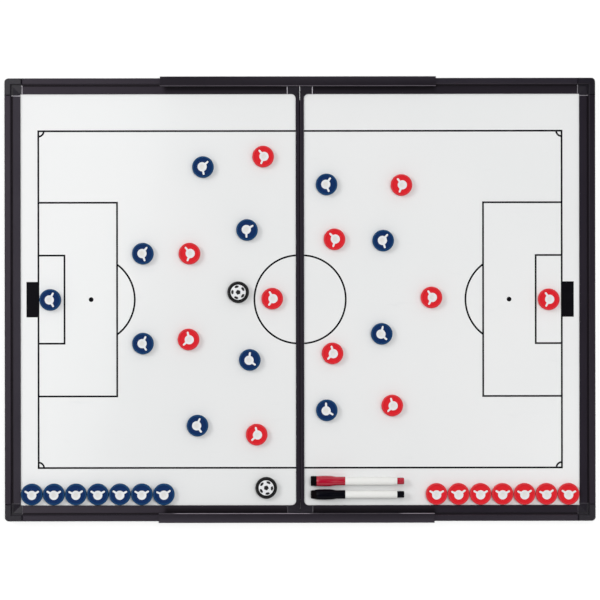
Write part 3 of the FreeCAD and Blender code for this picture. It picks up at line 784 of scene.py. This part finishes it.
def lay_counters(masters):
    """Sets a counter down in the place of each counter's solid."""
    rows = [("match_ball", "ball", MATCH_BALL_TURN, "ball"), ("spare_ball", "ball", SPARE_BALL_TURN, "ball")]
    for kind, facing in (("blue", BLUE_FACING), ("red", RED_FACING)):
        rows += [(f"{kind}_player_{n:02d}", kind, turn, f"{kind}_counter")
                 for n, turn in enumerate(facing, 1)]
    for node, kind, turn, slot in rows:
        piece = copy_to(masters[kind], f"{node}_counter", spot_of(node), turn)
        hand_over(piece, node, slot, node)
    for kind, facing in (("blue", BLUE_SPARE_FACING), ("red", RED_SPARE_FACING)):
        node = f"spare_{kind}_players"
        spot = spot_of(node)
        first = spot.x - (len(facing) - 1) / 2 * COUNTER_STEP
        row = [copy_to(masters[kind], "spare", (first + n * COUNTER_STEP, spot.y), turn)
               for n, turn in enumerate(facing)]
        hand_over(join(f"{node}_counters", *row), node, f"{kind}_counter", node)
    for master in masters.values():
        bpy.data.objects.remove(master)


def hand_over(piece, body, slot, *nodes):
    """The piece rides on a body and stands for the solids named, which are hidden. The slot is not used."""
    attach(piece, body)
    if nodes:
        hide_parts(*nodes)


# Pens

def turned(name, outline, node):
    """A round piece drawn out ring by ring along X, on the axis of the solid that it stands for."""
    low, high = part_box(node)
    axis = (low + high) / 2
    x, radius = (value * MM for value in outline[0])
    clear_bench()
    bpy.ops.mesh.primitive_circle_add(vertices=PEN_SIDES, radius=radius, fill_type="NGON",
                                      location=(low.x + x, axis.y, axis.z), rotation=(0, -math.pi / 2, 0))
    piece = settle(name)
    open_up()
    bpy.ops.mesh.select_all(action="SELECT")
    for distance, wide in outline[1:]:
        bpy.ops.mesh.extrude_region_move(TRANSFORM_OT_translate={"value": (distance * MM - x, 0, 0)})
        x = distance * MM
        share = wide * MM / radius
        bpy.ops.transform.resize(value=(1, share, share), center_override=(low.x + x, axis.y, axis.z))
        radius = wide * MM
    true_up()
    bpy.ops.object.mode_set(mode="OBJECT")
    return smooth(piece)


def lay_pens(finishes):
    """Both pens in the places of their solids."""
    outlines = {"eraser": ERASER, "cap": CAP, "barrel": BARREL, "nib": NIB, "end_plug": END_PLUG}
    bodies = {"eraser": "cap", "cap": "cap", "barrel": "barrel", "nib": "barrel", "end_plug": "barrel"}
    for colour in ("red", "black"):
        looks = {"eraser": "felt", "cap": f"{colour}_pen", "barrel": "pen_barrel", "nib": f"{colour}_ink",
                 "end_plug": f"{colour}_pen"}
        for part, outline in outlines.items():
            node = f"{colour}_pen_{part}"
            outline = WORN_ERASER if node == "black_pen_eraser" else outline
            piece = paint(turned(f"{node}_turned", outline, node), finishes[looks[part]])
            hand_over(piece, f"{colour}_{bodies[part]}", looks[part], node)


# Hinge rivets

def rivet_row(name, side, finish):
    """Flush rivet heads along one hinge plate's back."""
    node = "hinge_plate_left" if side < 0 else "hinge_plate_right"
    low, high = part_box(node)
    count, off_seam = 8, 8.6 * MM
    radius, depth, proud = 2.1 * MM, 0.4 * MM, 0.04 * MM
    rim, slope, dip = 0.35 * MM, 0.15 * MM, 0.03 * MM
    clear_bench()
    bpy.ops.mesh.primitive_cylinder_add(vertices=24, radius=radius, depth=depth,
                                        location=(0, 0, BACK + depth / 2 - proud))
    head = settle("rivet")
    open_up()
    pick("FACE", faces_down)
    bpy.ops.mesh.inset(thickness=rim)
    bpy.ops.mesh.inset(thickness=slope, depth=-dip)
    bpy.ops.object.mode_set(mode="OBJECT")
    reach = high.y - low.y
    spots = [(side * off_seam, low.y + reach * (n + 0.5) / count) for n in range(count)]
    row = join(name, *[copy_to(head, "rivet", spot) for spot in spots])
    bpy.data.objects.remove(head)
    smooth(paint(row, finish))
    hand_over(row, "left_leaf" if side < 0 else "right_leaf", "hinge")


# Rail ends and seam buffer

def cut_end(x, y, turn, crest, length):
    """The bare burr of a rail's sawn end: a wedge across the ledge that falls away along the turn.

    The crest, 1 or -1, is the side of the wedge that lies by the groove."""
    deep, rise = 0.8 * MM, 0.25 * MM
    top, bottom = LEDGE_CREST + rise, LEDGE_LIP - rise
    clear_bench()
    bpy.ops.mesh.primitive_cube_add(size=1, location=(0, 0, (top + bottom) / 2))
    bpy.context.object.scale = (deep, length, top - bottom)
    piece = settle("cut_end")
    open_up()
    pick("VERT", lambda vert: vert.co.z > LEDGE_LIP and vert.co.y * crest < 0)
    bpy.ops.transform.translate(value=(0, 0, LEDGE_LIP - LEDGE_CREST))
    pick("VERT", lambda vert: vert.co.z > LEDGE_LIP and vert.co.x > 0)
    bpy.ops.transform.translate(value=(0, 0, -rise))
    bpy.ops.object.mode_set(mode="OBJECT")
    piece.rotation_euler.z = math.radians(turn)
    piece.location = (x, y, 0)
    return settle()


def rail_ends(side, finish):
    """The sawn ends of one leaf's rails at its corner caps and seam corners."""
    leaf = "left" if side < 0 else "right"
    low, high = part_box(f"{leaf}_long_rails")
    far, near = max(abs(low.x), abs(high.x)), min(abs(low.x), abs(high.x))
    end_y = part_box(f"{leaf}_side_rail")[1].y
    inset = 0.1 * MM
    wide, narrow = LEDGE_END - CORNER_BURR, LEDGE_END - LEDGE_START
    at_corner, at_seam = LEDGE_END - wide / 2, LEDGE_END - narrow / 2
    outward, inward = (180, 0) if side < 0 else (0, 180)
    ends = []
    for way in (-1, 1):
        corner_x, corner_y = side * (HALF_LENGTH - at_corner), way * (HALF_WIDTH - at_corner)
        seam_y = way * (HALF_WIDTH - at_seam)
        ends.append(cut_end(side * (far - inset), corner_y, outward, side * way, wide))
        ends.append(cut_end(side * (near + inset), seam_y, inward, -side * way, narrow))
        ends.append(cut_end(corner_x, way * (end_y - inset), way * 90, -side * way, wide))
    piece = paint(join(f"{leaf}_rail_ends", *ends), finish)
    hand_over(piece, f"{leaf}_leaf", "rail")


def seam_buffer(finish):
    """A thin rubber buffer on the left leaf, which closes the seam between the lower seam corners."""
    low, high = Vector((-0.22, -222, 4)) * MM, Vector((0.17, -202.5, 11)) * MM
    centre, edge_round = (low + high) / 2, 0.1 * MM
    clear_bench()
    bpy.ops.mesh.primitive_cube_add(size=1, location=centre)
    bpy.context.object.scale = high - low
    piece = settle("seam_buffer")
    open_up()
    pick("EDGE", lambda edge: middle(edge).x > 0 and abs(middle(edge).y - centre.y) < 1 * MM)
    bpy.ops.mesh.bevel(offset=edge_round, segments=2)
    bpy.ops.object.mode_set(mode="OBJECT")
    hand_over(smooth(paint(piece, finish)), "left_leaf", "corner")


# Solids that stay

def dress_solids(finishes):
    """Better finishes for the solids that stay."""
    looks = {
        "writing_sheet": "enamel", "core_board": "core", "backing_sheet": "backing",
        "long_rails": "long_rail", "side_rail": "side_rail", "hinge_rail": "side_rail",
        "corner_caps": "corner", "seam_corners": "corner",
    }
    for leaf in ("left", "right"):
        for part, look in looks.items():
            dress(f"{leaf}_{part}", finishes[look])
        dress(f"hinge_plate_{leaf}", finishes["hinge"])
    dress("hinge_pin", finishes["hinge"])
    dress("top_lock_bar", finishes["bar"])
    dress("bottom_lock_bar", finishes["bar"])


def dress(node, finish):
    """Gives a solid that stays its finish."""
    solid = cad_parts[node]
    for slot in solid.material_slots:
        slot.material = finish


def all_finishes():
    """The finishes by their short names."""
    along_x, along_y = (12, 2600, 2600), (2600, 12, 2600)
    dark, light = tone(19, 15, 24), tone(30, 26, 35)
    return {
        "enamel": enamel(), "ink": pitch_ink(), "core": fibreboard(), "backing": backing(), "felt": felt(),
        "long_rail": charcoal("charcoal_long_rail", along_x, dark, light, long_rail_shade_and_sheen),
        "side_rail": charcoal("charcoal_side_rail", along_y, dark, light, side_rail_shade_and_sheen),
        "bar": charcoal("charcoal_bar", along_x, tone(13, 10, 16), tone(22, 19, 27), bar_shade_and_highlight, 0.26),
        "bare": sawn_metal(),
        # Pale grey for the hollow crown: painted shade.
        "hollow": moulded("pale_grey_crown_shade", tone(222, 221, 218), tone(233, 232, 229), 0.5),
        "corner": moulded("charcoal_corner", tone(23, 19, 28), tone(38, 34, 43), 0.26, 3000, 0.38),
        "hinge": metal("zinc_hinge", tone(128, 128, 132), tone(176, 177, 180), (2600, 20, 2600), 0.3),
        "rivet": metal("rivet_steel", tone(84, 84, 88), tone(120, 121, 124), (900, 900, 900), 0.4),
        "magnet": moulded("magnet_ferrite", tone(48, 46, 45), tone(72, 70, 68), 0.55, 900, 0.4),
        "blue": moulded("navy_plastic", tone(12, 57, 100), tone(20, 74, 121), 0.36, gloss=0.22),
        "red": moulded("red_plastic", tone(214, 46, 54), tone(226, 65, 72), 0.36, gloss=0.22),
        "ball": moulded("black_plastic", tone(18, 18, 19), tone(36, 36, 38), 0.4, gloss=0.3),
        # The dish finishes are darker than the rims, as painted shade in the dished tops, and more matt.
        "blue_dish": moulded("navy_dish", tone(4, 39, 88), tone(10, 53, 106), 0.5, gloss=0.15),
        "red_dish": moulded("red_dish", tone(216, 29, 40), tone(230, 45, 54), 0.5, gloss=0.15),
        "ball_dish": moulded("black_dish", tone(14, 14, 15), tone(30, 30, 32), 0.5, gloss=0.2),
        "figure": moulded("white_plastic", tone(228, 229, 231), tone(238, 239, 240), 0.35),
        "red_pen": moulded("crimson_plastic", tone(172, 4, 40), tone(188, 16, 54), 0.12, gloss=0.8),
        "black_pen": moulded("black_pen_plastic", tone(3, 3, 10), tone(8, 8, 18), 0.25, gloss=0.1),
        "pen_barrel": moulded("barrel_plastic", tone(236, 236, 233), tone(244, 244, 242), 0.3),
        "red_ink": moulded("red_ink_felt", tone(150, 10, 36), tone(176, 30, 52), 0.8, 2600, 0.2),
        "black_ink": moulded("black_ink_felt", tone(12, 12, 16), tone(30, 30, 34), 0.8, 2600, 0.2),
    }


def build():
    """Dresses the solids and adds the pieces that the scene makes."""
    finishes = all_finishes()
    dress_solids(finishes)
    for name, side, body in (("left_pitch_lines", -1, "left_leaf"), ("right_pitch_lines", 1, "right_leaf")):
        hand_over(paint(half_pitch(name, side), finishes["ink"]), body, "enamel")
    lay_counters(counter_set(finishes))
    lay_pens(finishes)
    rivet_row("left_hinge_rivets", -1, finishes["rivet"])
    rivet_row("right_hinge_rivets", 1, finishes["rivet"])
    rail_ends(-1, finishes["bare"])
    rail_ends(1, finishes["bare"])
    seam_buffer(finishes["felt"])


def light_up():
    """Floor, camera and lights."""
    clear_bench()
    floor()
    clear_bench()
    camera()
    softbox("upper_left_softbox", (-0.67, 0.15, 1.25), (0, 0, 0), 1.0, 6.4, lit=False)
    softbox("right_softbox", (0.65, -0.3, 1.2), (0, 0, 0), 0.7, 1.7)
    softbox("overhead_softbox", (0.7, 0.5, 4.2), (0, 0, 0), 1.6, 66, mirrored=False)
    softbox("left_window", (-2.6, 1.2, 2.6), (0, 0, 0), 1.4, 44, mirrored=False)
    daylight(0.7, 0.04, 1.15)
    bpy.context.scene.view_settings.view_transform = "Standard"


build()
light_up()
